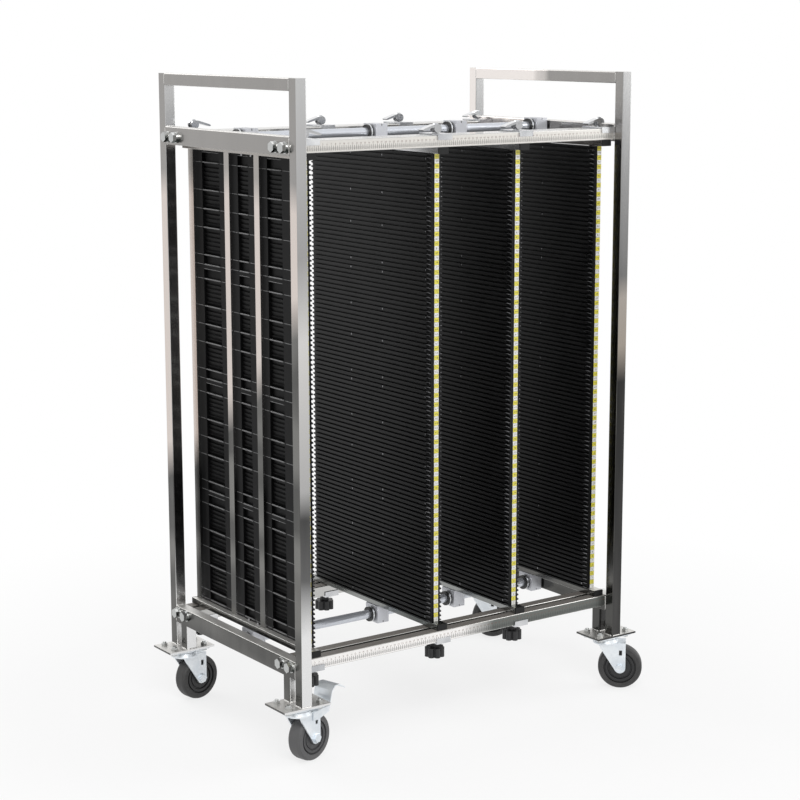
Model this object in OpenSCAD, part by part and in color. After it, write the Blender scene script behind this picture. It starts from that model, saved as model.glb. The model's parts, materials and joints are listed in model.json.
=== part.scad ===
// ESD trolley for circuit boards: a polished tube frame on four swivel casters carries four upright
// slotted panels that slide along two guide shafts and are clamped to pairs of cross rails.
// X runs along the trolley, Y from the loading side (minus) to the back, Z up from the floor. Millimetres.

/* [End frames] */
// Length over the two end frames
frame_length = 860; // [840:5:1000]
// Width over the uprights
frame_width = 545; // [540:5:570]
// Height of the push handles above the floor
frame_height = 1395; // [1360:5:1450]
// Side of the square tube for uprights, handles and cross rails
tube = 25; // [25:0.5:26]
// Wall of every frame tube
tube_wall = 1.5; // [1:0.25:2]
// Outside corner radius of the frame tubes
tube_r = 2; // [1:0.25:2.5]
// Height of the end rails that carry the cross rails
end_rail_h = 38; // [38:1:44]
// Top of the lower end rail above the floor
lower_rail_top = 221; // [218:1:226]
// Top of the upper end rail above the cross rails it carries
end_rail_lip = 9; // [7:0.5:10]
// Clear gap between an upright and the stub leg beside it
leg_gap = 20.5; // [18:0.5:22]

/* [Cross rails and guide shafts] */
// Gap between the two tubes of a rail pair, where the clamp studs run
rail_gap = 10; // [10:0.5:12]
// How far the outer rail faces stand in front of the panel bars
rail_lead = 2; // [1:0.5:4]
// Diameter of the guide shafts
shaft_d = 20; // [18:1:20]
// Lower shaft centre below the lower rail top
lower_shaft_drop = 20.5; // [20:0.5:22]
// Upper shaft centre above the bottom of the upper rails
upper_shaft_rise = 21; // [20:0.5:21]
// How far a shaft end is let into the end rail
shaft_seat = 20; // [10:1:22]
// Thickness of the ruler strips
ruler_t = 0.5; // [0.4:0.1:0.6]
// Height of the ruler strips
ruler_h = 22; // [18:1:24]
// Bare length of rail left at each ruler end
ruler_end_gap = 3; // [2:1:20]

/* [Frame bolts] */
// Diameter of the bolts that hold the cross rails
bolt_d = 12; // [10:1:12]
// Width across flats of their heads
bolt_flats = 19; // [17:0.5:20]
// Height of their heads
bolt_head_h = 7.5; // [6:0.5:8]
// Outside diameter of the flat washers
washer_d = 24; // [22:0.5:25]
// Thickness of the flat washers
washer_t = 2.5; // [2:0.5:3]
// Outside diameter of the spring washers
spring_washer_d = 21; // [19:0.5:22]
// Thickness of the spring washers
spring_washer_t = 3; // [2:0.5:3]
// Length of the threaded plugs in the rail ends
plug_l = 30; // [24:1:40]

/* [Panels] */
// Inner panel centres along the trolley, as parked
inner_panel_x = [-55, 158];
// Outer panel centres from the inside of the end frames, left and right
end_panel_in = [27, 19];
// Width of the top and bottom bars
bar_w = 25; // [22:0.5:25]
// Height of the top and bottom bars
bar_h = 13; // [12:0.5:14]
// Wall of the top and bottom bars
bar_wall = 1.2; // [1:0.1:1.5]
// Outside corner radius of the bars and their caps
bar_r = 1.5; // [1:0.25:2]
// Length of the top and bottom bars over their end caps
bar_length = 490; // [488:1:492]
// Thickness of the end cap flanges
cap_t = 3; // [2:0.5:4]
// How far the cap plugs reach into the bars
cap_plug = 9; // [6:1:12]
// Places of the two inner upright flats along the panel
inner_flat_y = [-43, 77];
// Front and rear upright flats from the bar ends
end_flat_in = [45, 17];
// Width of the upright flats
flat_w = 20; // [18:0.5:20]
// Thickness of the upright flats
flat_t = 6; // [5:0.5:7]
// Free height between the boards and the top bar
board_top_gap = 1; // [0.5:0.5:2]

/* [Slotted boards] */
// Slot pitch
pitch = 10;
// Slots in one moulded board
slots = 25;
// Boards stacked on one panel face
boards = 4;
// Gap between stacked boards
board_joint = 0.3; // [0.2:0.1:0.5]
// Loading edge of the boards from the front bar end
board_front_in = 26; // [25:0.5:27]
// Back edge of the boards from the rear bar end
board_rear_in = 14; // [12:0.5:16]
// Thickness from the rib tops on the back to the slot floors
board_t = 9; // [8:0.5:10]
// Wall under the slot floors
web_t = 2.5; // [2:0.25:3]
// Height of the ridges between slots
ridge_h = 5.5; // [4:0.5:6]
// Ridge width at the slot floor
ridge_root = 7; // [6:0.25:7.5]
// Ridge width at the crown
ridge_crown = 5.6; // [4.5:0.1:5.8]
// Ridge width left at the slot ends by the flared mouths
mouth_ridge = 3; // [2:0.25:4]
// Length of the flared mouths
mouth_l = 10; // [6:0.5:11.5]
// Drop of the ridge crown at the slot ends
mouth_drop = 1.5; // [1:0.25:3]
// Heights of the strong cross ribs on the back of a board
rib_z = [26, 85, 125, 165, 224];
// Thickness of the ribs
rib_t = 2.2; // [1.8:0.1:2.5]
// Plain bands before and after each louvred window, from the middles of the flats beside it
window_band = [[69, 32], [42, 36], [40, 39]];
// Width of the edge frame round the back of a board
edge_frame = 4; // [3:0.5:6]
// Depth of the louvre blades
louvre_h = 3; // [2:0.25:4]
// Height over which a louvre blade rises
louvre_rise = 8; // [6:0.5:8.5]
// Heights of the screw rows, counted in ridges
screw_ridge = [1, 9, 16, 24];
// Screw shank diameter
screw_d = 3; // [2.5:0.25:3.5]
// Screw head diameter
screw_head_d = 5; // [4.6:0.1:5.2]
// Screw head height
screw_head_h = 1.6; // [1.2:0.2:2]
// Depth of the head seats below the ridge crowns
screw_recess = 2.4; // [2.2:0.1:3]
// Distance of the screw ends from the middle of the flats
screw_end = 0.5; // [0.3:0.1:1]
// Place of the screws across the flats, towards the loading edge below zero
screw_shift = -4; // [-5:0.5:4]

/* [Slot numbers] */
// Width of the steel carrier behind the number strip
carrier_w = 12; // [11:0.5:14]
// Thickness of the carrier
carrier_t = 2; // [1.5:0.25:2.5]
// Width of the number strip
label_w = 10.6; // [9:0.2:11]
// Thickness of the number strip
label_t = 0.6; // [0.4:0.1:0.8]

/* [Bearings] */
// Length of a bearing block along the shaft
block_l = 30; // [28:1:32]
// Depth of a bearing block across the shaft
block_w = 46; // [46:1:50]
// Block wall beyond the shaft centre
block_reach = 18; // [17:0.5:18]
// Outside diameter of the bearing sleeve
sleeve_d = 28; // [26:0.5:28]
// Outside diameter of the seal rings
seal_d = 33; // [31:0.5:34]
// Outside diameter of the steel ring
ring_d = 35; // [33:0.5:36]
// Thickness of each of the three rings
ring_t = 3.5; // [3:0.25:3.5]
// Diameter of the block screws
block_screw_d = 5; // [4:0.5:5]
// Head diameter of the block screws
block_head_d = 8.5; // [7:0.5:8.5]
// Head height of the block screws
block_head_h = 5; // [4:0.5:6]
// Length of the block screws past the bars
block_screw_end = 5; // [2:0.5:6]
// Spacing of the block screws
block_screw_gap = 37; // [36:0.5:37]

/* [Clamps] */
// Length of a clamp plate along the rails
clamp_l = 36; // [34:1:36]
// Thickness of a clamp plate
clamp_t = 2.5; // [2:0.25:3]
// Height of the clamp plate lips
lip_h = 10; // [7:0.5:11]
// Diameter of the clamp studs
stud_d = 8; // [7:0.5:8]
// Diameter of the stud heads inside the bars
stud_head_d = 16; // [13:0.5:18]
// Thickness of the stud heads
stud_head_t = 3; // [2:0.5:4]
// Height of the cam pivot above the upper rails
cam_pivot_z = 17; // [17:0.5:19]
// Radius of the cam disc
cam_r = 9; // [8.5:0.5:9.5]
// Thickness of one cam cheek
cam_cheek = 5; // [4:0.5:6]
// Diameter of the cam pin
cam_pin_d = 5; // [4:0.5:5.5]
// Radius of the stud eye
eye_r = 6.5; // [6:0.25:7]
// Thickness of the stud eye
eye_t = 6; // [5:0.5:7]
// Reach of the cam lever from its pivot
lever_l = 38; // [32:1:44]
// Fall of the cam lever over its reach
lever_fall = 9; // [7:0.5:10]
// Thickness of the cam lever
lever_t = 4.5; // [3.5:0.5:5]
// Radius to the lobe centres of a star knob
knob_lobe_at = 15; // [14:0.5:16]
// Radius of one knob lobe
knob_lobe_r = 6.5; // [5.5:0.5:7]
// Radius of the knob body
knob_body_r = 16; // [15:0.5:17]
// Lobes on a knob
knob_lobes = 7;
// Height of the knob head
knob_h = 21; // [16:1:24]
// Diameter of the knob neck
knob_neck_d = 20; // [16:1:24]
// Height of the knob neck
knob_neck_h = 15; // [10:1:18]

/* [Casters] */
// Height of a caster without the frame plate
caster_h = 126; // [124:1:128]
// Thickness of the frame plates under the legs
foot_t = 4; // [3:0.5:5]
// Length of the frame plates
foot_l = 112; // [108:1:114]
// Width of the frame plates
foot_w = 76; // [74:1:78]
// Thickness of the caster top plates
top_plate_t = 3; // [2.5:0.5:4]
// Length of the caster top plates
top_plate_l = 104; // [98:1:106]
// Width of the caster top plates
top_plate_w = 70; // [68:1:74]
// Bolt spacing along the plate
plate_bolt_x = 75; // [74:1:78]
// Bolt spacing across the plate
plate_bolt_y = 45; // [44:1:47]
// Diameter of the plate bolts
plate_bolt_d = 8; // [7:0.5:8]
// Width across flats of their heads and nuts
plate_bolt_flats = 13; // [12:0.5:14]
// Wheel diameter
wheel_d = 100; // [96:1:101]
// Wheel width
wheel_w = 32; // [28:1:34]
// Trail of the axle behind the swivel
trail = 33; // [30:1:35]
// Axle diameter
axle_d = 12; // [10:0.5:12]
// Width across flats of the axle head and nut
axle_flats = 17; // [16:0.5:19]
// Thickness of the fork sheet
fork_t = 3; // [2.5:0.5:3.5]
// Side gap between wheel and fork
wheel_gap = 2; // [1.5:0.25:3]
// Height of the fork crown above the axle
fork_rise = 56; // [54:0.5:57]
// Radius of the fork crown and ball race
race_r = 29.5; // [28:0.5:30]
// Rounding of the fork legs round the axle
leg_r = 12.5; // [12:0.5:14]
// Swivel angles as parked: near left, near right, far left, far right
swivel = [16, -42, 9, -42];
// Thickness of the brake pedal sheet
pedal_t = 2; // [1.5:0.25:2.5]
// Height of the pedal crest above the fork
pedal_rise = 36; // [32:1:40]
// Length of the pedal tread
tread_l = 48; // [44:1:54]
// Diameter of the pedal pivots
pedal_pin_d = 6; // [5:0.5:7]

/* [Clearances] */
// Gap under, over and beside the sliding panels
slide_gap = 0.5; // [0.4:0.1:0.6]
// Radial running fit of turning and sliding bores
run_fit = 0.05; // [0.03:0.01:0.08]
// Radial clearance of fixed bolts in their holes
bolt_fit = 0.4; // [0.2:0.1:0.5]
// Small gap between parts that only sit beside each other
side_gap = 0.4; // [0.35:0.05:0.5]
// Hairline gap between pieces that sit on each other in one group
seat_gap = 0.05; // [0.02:0.01:0.08]

/* [Hidden] */
$fn = 48;

// Faces of the frame
end_in = frame_length / 2 - tube;
upright_in = frame_width / 2 - tube;
bar_end = bar_length / 2;
foot_z = caster_h + foot_t;
rail_face = bar_end + rail_lead;
rail_y = [rail_face - tube / 2, rail_face - tube * 1.5 - rail_gap];
stud_y = rail_face - tube - rail_gap / 2;

// Panel places along the trolley, and places along a panel
panel_x = [end_panel_in[0] - end_in, inner_panel_x[0], inner_panel_x[1], end_in - end_panel_in[1]];
flat_y = [end_flat_in[0] - bar_end, inner_flat_y[0], inner_flat_y[1], bar_end - end_flat_in[1]];
board_front = board_front_in - bar_end;
board_rear = bar_end - board_rear_in;
window_y = [for (i = [0 : 2]) [flat_y[i] + window_band[i][0], flat_y[i + 1] - window_band[i][1]]];

// Panel heights
bottom_bar_z = lower_rail_top + slide_gap;
board_z = bottom_bar_z + bar_h;
board_pitch = slots * pitch;
top_bar_z = board_z + boards * board_pitch + board_top_gap;
upper_rail_z = top_bar_z + bar_h + slide_gap;
upper_rail_top = upper_rail_z + tube;
lower_rail_z = lower_rail_top - tube;
upper_end_rail_top = upper_rail_top + end_rail_lip;
lower_shaft_z = lower_rail_top - lower_shaft_drop;
upper_shaft_z = upper_rail_z + upper_shaft_rise;
lower_block_low = lower_shaft_z - block_reach;
upper_block_top = upper_shaft_z + block_reach;

// Board section, counted outwards from the middle of the panel
rib_top = flat_t / 2;
floor_x = rib_top + board_t;
web_x = floor_x - web_t;
crown_x = floor_x + ridge_h;
board_depth = board_rear - board_front;
// The boards are screwed to every flat but the one at their back edge, on which they rest
screw_y = [for (y = flat_y) if (y < board_rear - flat_w) y + screw_shift];
screw_seat = crown_x - screw_recess;
plate_h = board_pitch - board_joint;

// Clamp places
clamp_top_z = upper_rail_top + side_gap + clamp_t;
clamp_low_z = lower_rail_z - side_gap - clamp_t;
cam_z = upper_rail_top + cam_pivot_z;
cam_drop = cam_z - clamp_top_z - side_gap - cam_r;
cam_half = eye_t / 2 + side_gap + cam_cheek;
ring_out = block_l / 2 + 3 * ring_t;

// Caster places
caster_x = frame_length / 2 - tube / 2;
caster_y = upright_in - leg_gap / 2;
axle_z = wheel_d / 2;
fork_in = wheel_w / 2 + wheel_gap;
fork_out = fork_in + fork_t;
crown_z = axle_z + fork_rise;
race_z = caster_h - top_plate_t - 6;

module box(from, to) {
    translate(from) cube(to - from);
}

module along_x(d, from, to) {
    translate([from, 0, 0]) rotate([0, 90, 0]) cylinder(d = d, h = to - from);
}

module along_y(d, from, to) {
    translate([0, to, 0]) rotate([90, 0, 0]) cylinder(d = d, h = to - from);
}

module upright_d(d, from, to) {
    translate([0, 0, from]) cylinder(d = d, h = to - from);
}

module hex(flats, h) {
    cylinder(d = flats / cos(30), h = h, $fn = 6);
}

module ring(outer, inner, h) {
    difference() {
        cylinder(d = outer, h = h);
        translate([0, 0, -1]) cylinder(d = inner, h = h + 2);
    }
}

// Section of a tube or bar with rounded corners, and the same as a hollow section
module outline(w, h, r) {
    square([w - 2 * r, h], center = true);
    square([w, h - 2 * r], center = true);
    for (x = [-1, 1], y = [-1, 1]) translate([x * (w / 2 - r), y * (h / 2 - r)]) circle(r = r);
}

module hollow(w, h, r, wall) {
    difference() {
        outline(w, h, r);
        square([w - 2 * wall, h - 2 * wall], center = true);
    }
}

// Places a section drawn in X and Z so that it runs along Y
module run_y(from, to) {
    translate([0, from, 0]) rotate([90, 0, 0]) mirror([0, 0, 1]) linear_extrude(to - from) children();
}

// End frames: uprights, handle, two end rails, stub legs and foot plates, welded into one piece

module end_bar(top, h) {
    translate([-caster_x, 0, top - h / 2]) run_y(-upright_in, upright_in) outline(tube, h, tube_r);
}

module end_bar_hollow(top, h) {
    translate([-caster_x, 0, top - h / 2]) run_y(-upright_in, upright_in)
        square([tube - 2 * tube_wall, h - 2 * tube_wall], center = true);
}

module frame_solids() {
    for (s = [-1, 1]) {
        translate([-caster_x, s * (upright_in + tube / 2), foot_z])
            linear_extrude(frame_height - foot_z) outline(tube, tube, tube_r);
        translate([-caster_x, s * (upright_in - leg_gap - tube / 2), foot_z])
            linear_extrude(lower_rail_top - end_rail_h - foot_z + tube_r) outline(tube, tube, tube_r);
        translate([-caster_x, s * caster_y, foot_z - foot_t / 2])
            cube([foot_l, foot_w, foot_t], center = true);
    }
    end_bar(frame_height, tube);
    end_bar(lower_rail_top, end_rail_h);
    end_bar(upper_end_rail_top, end_rail_h);
}

module frame_hollows() {
    x = frame_length / 2;
    w = tube_wall;
    for (s = [-1, 1]) {
        translate([-x + w, s * (upright_in + tube / 2) - tube / 2 + w, foot_z])
            cube([tube - 2 * w, tube - 2 * w, frame_height - foot_z - w]);
        translate([-x + w, s * (upright_in - leg_gap - tube / 2) - tube / 2 + w, foot_z])
            cube([tube - 2 * w, tube - 2 * w, lower_rail_top - end_rail_h - foot_z]);
        for (bx = [-1, 1], by = [-1, 1])
            translate([-caster_x + bx * plate_bolt_x / 2, s * caster_y + by * plate_bolt_y / 2, 0])
                upright_d(plate_bolt_d + 2 * bolt_fit, foot_z - foot_t - 1, foot_z + 1);
    }
    end_bar_hollow(frame_height, tube);
    end_bar_hollow(lower_rail_top, end_rail_h);
    end_bar_hollow(upper_end_rail_top, end_rail_h);
    for (s = [-1, 1], y = rail_y, z = [lower_rail_z, upper_rail_z])
        translate([0, s * y, z + tube / 2])
            along_x(bolt_d + 2 * bolt_fit, -x - 1, -end_in + 1);
    for (z = [lower_shaft_z, upper_shaft_z])
        translate([0, 0, z]) along_x(shaft_d + 2 * run_fit, -end_in - shaft_seat, -end_in + 1);
}

module end_frame() {
    color("gainsboro") difference() {
        frame_solids();
        frame_hollows();
    }
}

module end_frame_left() { end_frame(); }
module end_frame_right() { mirror([1, 0, 0]) end_frame(); }

// Cross rails, guide shafts and rulers

module rail_tube() {
    translate([-end_in, 0, tube / 2]) rotate([90, 0, 90])
        linear_extrude(2 * end_in) hollow(tube, tube, tube_r, tube_wall);
}

module cross_rails() {
    color("silver")
        for (s = [-1, 1], y = rail_y, z = [lower_rail_z, upper_rail_z])
            translate([0, s * y, z]) rail_tube();
}

module guide_shafts() {
    reach = end_in + shaft_seat - side_gap;
    color("whitesmoke")
        for (z = [lower_shaft_z, upper_shaft_z])
            translate([0, 0, z]) along_x(shaft_d, -reach, reach);
}

module ruler_strips() {
    reach = end_in - ruler_end_gap;
    color("lightgray")
        for (z = [lower_rail_z, upper_rail_z])
            translate([-reach, -rail_face - ruler_t, z + (tube - ruler_h) / 2])
                cube([2 * reach, ruler_t, ruler_h]);
}

module rail_bolt() {
    out = frame_length / 2;
    head_x = out + washer_t + spring_washer_t;
    rotate([0, 90, 0]) {
        translate([0, 0, head_x]) hex(bolt_flats, bolt_head_h);
        translate([0, 0, end_in - plug_l + 4]) cylinder(d = bolt_d, h = head_x - end_in + plug_l - 4);
        translate([0, 0, out]) ring(washer_d, bolt_d + bolt_fit, washer_t - seat_gap);
        translate([0, 0, out + washer_t])
            ring(spring_washer_d, bolt_d + bolt_fit, spring_washer_t - seat_gap);
    }
    plug_side = tube - 2 * tube_wall - 2 * run_fit;
    difference() {
        translate([end_in - plug_l, -plug_side / 2, -plug_side / 2])
            cube([plug_l, plug_side, plug_side]);
        along_x(bolt_d + 2 * run_fit, end_in - plug_l - 1, end_in + 1);
    }
}

module frame_bolts() {
    color("lightgray")
        for (m = [0, 1], s = [-1, 1], y = rail_y, z = [lower_rail_z, upper_rail_z])
            mirror([m, 0, 0]) translate([0, s * y, z + tube / 2]) rail_bolt();
}

// Panels: steel bars and flats, moulded boards, number strip, bearings and clamps

module bar_tube(z) {
    l = bar_length / 2 - cap_t;
    difference() {
        translate([0, 0, z + bar_h / 2]) run_y(-l, l) hollow(bar_w, bar_h, bar_r, bar_wall);
        for (s = [-1, 1]) {
            translate([0, s * block_screw_gap / 2, 0])
                upright_d(block_screw_d + 2 * bolt_fit, z - 1, z + bar_h + 1);
        }
    }
}

module stud_holes(z) {
    for (s = [-1, 1])
        translate([0, s * stud_y, 0]) upright_d(stud_d + 2 * run_fit, z - 1, z + bar_wall + 1);
}

module panel_frame(lower_studs, sides) {
    // The screw bores go right through a flat that carries boards on both sides, and are blind otherwise
    bore_end = len(sides) > 1 ? -flat_t : -screw_end;
    color("silver") {
        difference() {
            bar_tube(bottom_bar_z);
            if (lower_studs) stud_holes(bottom_bar_z);
        }
        difference() {
            bar_tube(top_bar_z);
            translate([0, 0, bar_h - bar_wall]) stud_holes(top_bar_z);
        }
        for (y = flat_y)
            difference() {
                box([-flat_t / 2, y - flat_w / 2, board_z], [flat_t / 2, y + flat_w / 2, top_bar_z]);
                if (y < board_rear - flat_w)
                    for (b = [0 : boards - 1], r = screw_ridge)
                        translate([0, y + screw_shift, board_z + b * board_pitch + r * pitch])
                            mirror([sides[0] < 0 ? 1 : 0, 0, 0])
                                along_x(screw_d + 2 * run_fit, bore_end, flat_t);
            }
        box([-carrier_w / 2, board_front - carrier_t, board_z], [carrier_w / 2, board_front, top_bar_z]);
    }
}

module panel_caps() {
    l = bar_length / 2;
    w = bar_w / 2 - bar_wall - run_fit;
    color("black")
        for (m = [0, 1], z = [bottom_bar_z, top_bar_z])
            mirror([0, m, 0]) {
                translate([0, 0, z + bar_h / 2]) run_y(-l, -l + cap_t) outline(bar_w, bar_h, bar_r);
                box([-w, -l + cap_t, z + bar_wall + run_fit],
                    [w, -l + cap_t + cap_plug, z + bar_h - bar_wall - run_fit]);
            }
}

// Outline of board and ridges, drawn outwards from the back, one ridge half at each end
function ridge_points(i) = [
    [floor_x, i * pitch - ridge_root / 2], [crown_x, i * pitch - ridge_crown / 2],
    [crown_x, i * pitch + ridge_crown / 2], [floor_x, i * pitch + ridge_root / 2]];

module comb_outline() {
    inner = [for (i = [1 : slots - 1], p = ridge_points(i)) p];
    top = plate_h;
    polygon(concat(
        [[rib_top, 0], [crown_x, 0], [crown_x, ridge_crown / 2], [floor_x, ridge_root / 2]],
        inner,
        [[floor_x, top - ridge_root / 2], [crown_x, top - ridge_crown / 2], [crown_x, top], [rib_top, top]]));
}

// Toothed cutter that flares every slot at its end
module mouth_outline() {
    wide = (pitch - mouth_ridge) / 2;
    narrow = (pitch - ridge_crown) / 2;
    teeth = [for (i = [0 : slots - 1], p = [[0, -wide], [mouth_l, -narrow], [mouth_l, narrow], [0, wide]])
        [p[0], p[1] + (i + 0.5) * pitch]];
    polygon(concat([[-2, wide / 2]], teeth, [[-2, plate_h - wide / 2]]));
}

module mouth_cutters() {
    translate([floor_x, 0, 0]) rotate([0, 0, 90]) rotate([90, 0, 0])
        linear_extrude(ridge_h + 1) mouth_outline();
    translate([0, 0, -1]) linear_extrude(plate_h + 2)
        polygon([[crown_x - mouth_drop, -0.01], [crown_x + 1, -0.01],
            [crown_x + 1, mouth_l], [crown_x, mouth_l]]);
}

module ridge_sheet() {
    difference() {
        rotate([90, 0, 0]) mirror([0, 0, 1]) linear_extrude(board_depth) comb_outline();
        mouth_cutters();
        translate([0, board_depth, 0]) mirror([0, 1, 0]) mouth_cutters();
    }
}

// Back of a board: flat bands beside the flats, windows of slanted blades between strong cross ribs,
// and plain pockets in the first and last row
module window_cutter(from, to, low, high, bladed) {
    blades = round((high - low) / pitch);
    step = (high - low) / blades;
    slants = [for (i = [0 : blades - 1], p = [[web_x, 0], [web_x - louvre_h, louvre_rise]])
        [p[0], low + i * step + p[1]]];
    edge = bladed ? slants : [[web_x, low]];
    translate([0, to, 0]) rotate([90, 0, 0]) linear_extrude(to - from)
        polygon(concat([[rib_top - 1, low]], edge, [[web_x, high], [rib_top - 1, high]]));
}

module louvre_windows() {
    rows = concat([edge_frame], rib_z, [plate_h - edge_frame]);
    last = len(rows) - 2;
    for (w = window_y, r = [0 : last])
        window_cutter(w[0] - board_front, w[1] - board_front, rows[r] + rib_t / 2, rows[r + 1] - rib_t / 2,
            r > 0 && r < last);
}

module screw_bores() {
    for (y = screw_y, r = screw_ridge)
        translate([0, y - board_front, r * pitch]) {
            along_x(screw_d + 2 * run_fit, rib_top - 1, crown_x);
            along_x(screw_head_d + 2 * run_fit, screw_seat, crown_x + 1);
        }
}

module moulded_board() {
    difference() {
        ridge_sheet();
        louvre_windows();
        screw_bores();
    }
}

module panel_boards(sides) {
    color("dimgray")
        for (s = sides, b = [0 : boards - 1])
            translate([0, board_front, board_z + b * board_pitch])
                mirror([s < 0 ? 1 : 0, 0, 0]) moulded_board();
}

module board_screw() {
    rotate([0, 90, 0]) {
        translate([0, 0, screw_seat]) cylinder(d = screw_head_d, h = screw_head_h);
        translate([0, 0, screw_end]) cylinder(d = screw_d, h = screw_seat - screw_end);
    }
}

module block_screws() {
    for (s = [-1, 1]) translate([0, s * block_screw_gap / 2, 0]) {
        upright_d(block_head_d, upper_block_top - block_head_h, upper_block_top);
        upright_d(block_screw_d, top_bar_z - block_screw_end, upper_block_top - block_head_h);
        upright_d(block_head_d, lower_block_low, lower_block_low + block_head_h);
        upright_d(block_screw_d, lower_block_low + block_head_h, board_z + block_screw_end);
    }
}

module panel_screws(sides) {
    color("gainsboro") {
        for (s = sides, b = [0 : boards - 1], r = screw_ridge, y = screw_y)
            translate([0, y, board_z + b * board_pitch + r * pitch])
                mirror([s < 0 ? 1 : 0, 0, 0]) board_screw();
        block_screws();
    }
}

module panel_label() {
    front = board_front - carrier_t;
    color("gold")
        box([-label_w / 2, front - label_t, board_z], [label_w / 2, front, board_z + boards * board_pitch]);
}

module bearing(shaft_z, block_from, block_to) {
    difference() {
        box([-block_l / 2, -block_w / 2, block_from], [block_l / 2, block_w / 2, block_to]);
        translate([0, 0, shaft_z]) along_x(sleeve_d, -block_l, block_l);
        for (s = [-1, 1]) translate([0, s * block_screw_gap / 2, 0]) {
            upright_d(block_screw_d + 2 * run_fit, block_from - 1, block_to + 1);
            upright_d(block_head_d + 2 * bolt_fit, lower_block_low - 1, lower_block_low + block_head_h);
            upright_d(block_head_d + 2 * bolt_fit, upper_block_top - block_head_h, upper_block_top + 1);
        }
    }
    translate([0, 0, shaft_z]) {
        difference() {
            along_x(sleeve_d - 2 * seat_gap, -ring_out, block_l / 2);
            along_x(shaft_d + 2 * run_fit, -ring_out - 1, block_l);
        }
        for (k = [0 : 2])
            difference() {
                along_x(k == 1 ? ring_d : seal_d,
                    -block_l / 2 - (k + 1) * ring_t, -block_l / 2 - k * ring_t - seat_gap);
                along_x(sleeve_d, -ring_out - 1, 0);
            }
    }
}

module panel_bearings() {
    color("lightsteelblue") {
        bearing(lower_shaft_z, lower_block_low, bottom_bar_z);
        bearing(upper_shaft_z, top_bar_z + bar_h, upper_block_top);
    }
}

// A channel that straddles a rail pair, lips on both sides
module clamp_channel() {
    outside = rail_face + ruler_t + side_gap;
    inside = rail_y[1] - tube / 2 - side_gap;
    difference() {
        box([-clamp_l / 2, -outside - clamp_t, -lip_h], [clamp_l / 2, -inside + clamp_t, clamp_t]);
        box([-clamp_l, -outside, -lip_h - 1], [clamp_l, -inside, 0]);
        translate([0, -stud_y, 0]) upright_d(stud_d + 2 * bolt_fit, -1, clamp_t + 1);
    }
}

// A stud with two flats on its neck, as wide apart as the eye is thick
module upper_stud() {
    from = top_bar_z + bar_h - bar_wall;
    difference() {
        union() {
            difference() {
                upright_d(stud_d, from, cam_z - eye_r + 2);
                for (s = [-1, 1]) translate([0, s * eye_t, 0])
                    box([-stud_d, -eye_t / 2, clamp_top_z], [stud_d, eye_t / 2, cam_z]);
            }
            upright_d(stud_head_d, from - stud_head_t, from);
            translate([0, 0, cam_z]) along_y(2 * eye_r, -eye_t / 2, eye_t / 2);
        }
        translate([0, 0, cam_z]) along_y(cam_pin_d + 2 * run_fit, -eye_t, eye_t);
    }
}

module lower_stud() {
    from = bottom_bar_z + bar_wall;
    upright_d(stud_d, clamp_low_z - knob_neck_h - 8, from);
    upright_d(stud_head_d, from, from + stud_head_t);
}

module panel_clamps(lower) {
    color("silver")
        for (m = [0, 1]) mirror([0, m, 0]) {
            translate([0, 0, clamp_top_z - clamp_t]) clamp_channel();
            translate([0, -stud_y, 0]) upper_stud();
            if (lower) {
                translate([0, 0, clamp_low_z + clamp_t]) mirror([0, 0, 1]) clamp_channel();
                translate([0, -stud_y, 0]) lower_stud();
            }
        }
}

// Cam lever, closed, with its reach along minus X
module cam_lever() {
    inner = eye_t / 2 + side_gap;
    clear = eye_r + 1.2;
    color("whitesmoke") {
        difference() {
            union() {
                for (s = [0, 1]) mirror([0, s, 0])
                    translate([0, 0, -cam_drop]) along_y(2 * cam_r, inner, cam_half);
                rotate([90, 0, 0]) linear_extrude(2 * cam_half, center = true)
                    polygon([[-clear, cam_r - cam_drop - 0.5], [-lever_l + 3, -lever_fall + lever_t],
                        [-lever_l, -lever_fall + lever_t - 2], [-lever_l, -lever_fall + 1.5],
                        [-lever_l + 2, -lever_fall], [-clear, -1.5]]);
                for (s = [0, 1]) mirror([0, s, 0])
                    translate([0, cam_half, 0]) rotate([90, 0, 0]) linear_extrude(cam_cheek)
                        polygon([[-clear - 2, cam_r - cam_drop - 1.2], [0, cam_r - cam_drop - 0.2],
                            [0, -2], [-clear - 2, -2]]);
            }
            along_y(cam_pin_d + 2 * run_fit, -cam_half - 1, cam_half + 1);
        }
        along_y(cam_pin_d, -cam_half, cam_half);
    }
}

module place_cam(panel, side) {
    translate([panel_x[panel], side * stud_y, cam_z]) mirror([panel == 0 ? 1 : 0, 0, 0]) cam_lever();
}

module star_knob() {
    color("black") difference() {
        union() {
            translate([0, 0, -knob_neck_h - knob_h]) linear_extrude(knob_h) {
                circle(r = knob_body_r);
                for (i = [0 : knob_lobes - 1])
                    rotate(i * 360 / knob_lobes) translate([knob_lobe_at, 0]) circle(r = knob_lobe_r);
            }
            upright_d(knob_neck_d, -knob_neck_h, 0);
        }
        upright_d(stud_d + 2 * run_fit, -knob_neck_h - 9, 1);
    }
}

module place_knob(panel, side) {
    translate([panel_x[panel], side * stud_y, clamp_low_z - side_gap]) star_knob();
}

// Casters. Local X points along the trail, the swivel axis is Z

corners = [[-1, -1], [1, -1], [-1, 1], [1, 1]];

module place_caster(i) {
    translate([corners[i][0] * caster_x, corners[i][1] * caster_y, 0]) rotate([0, 0, swivel[i]]) children();
}

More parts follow.
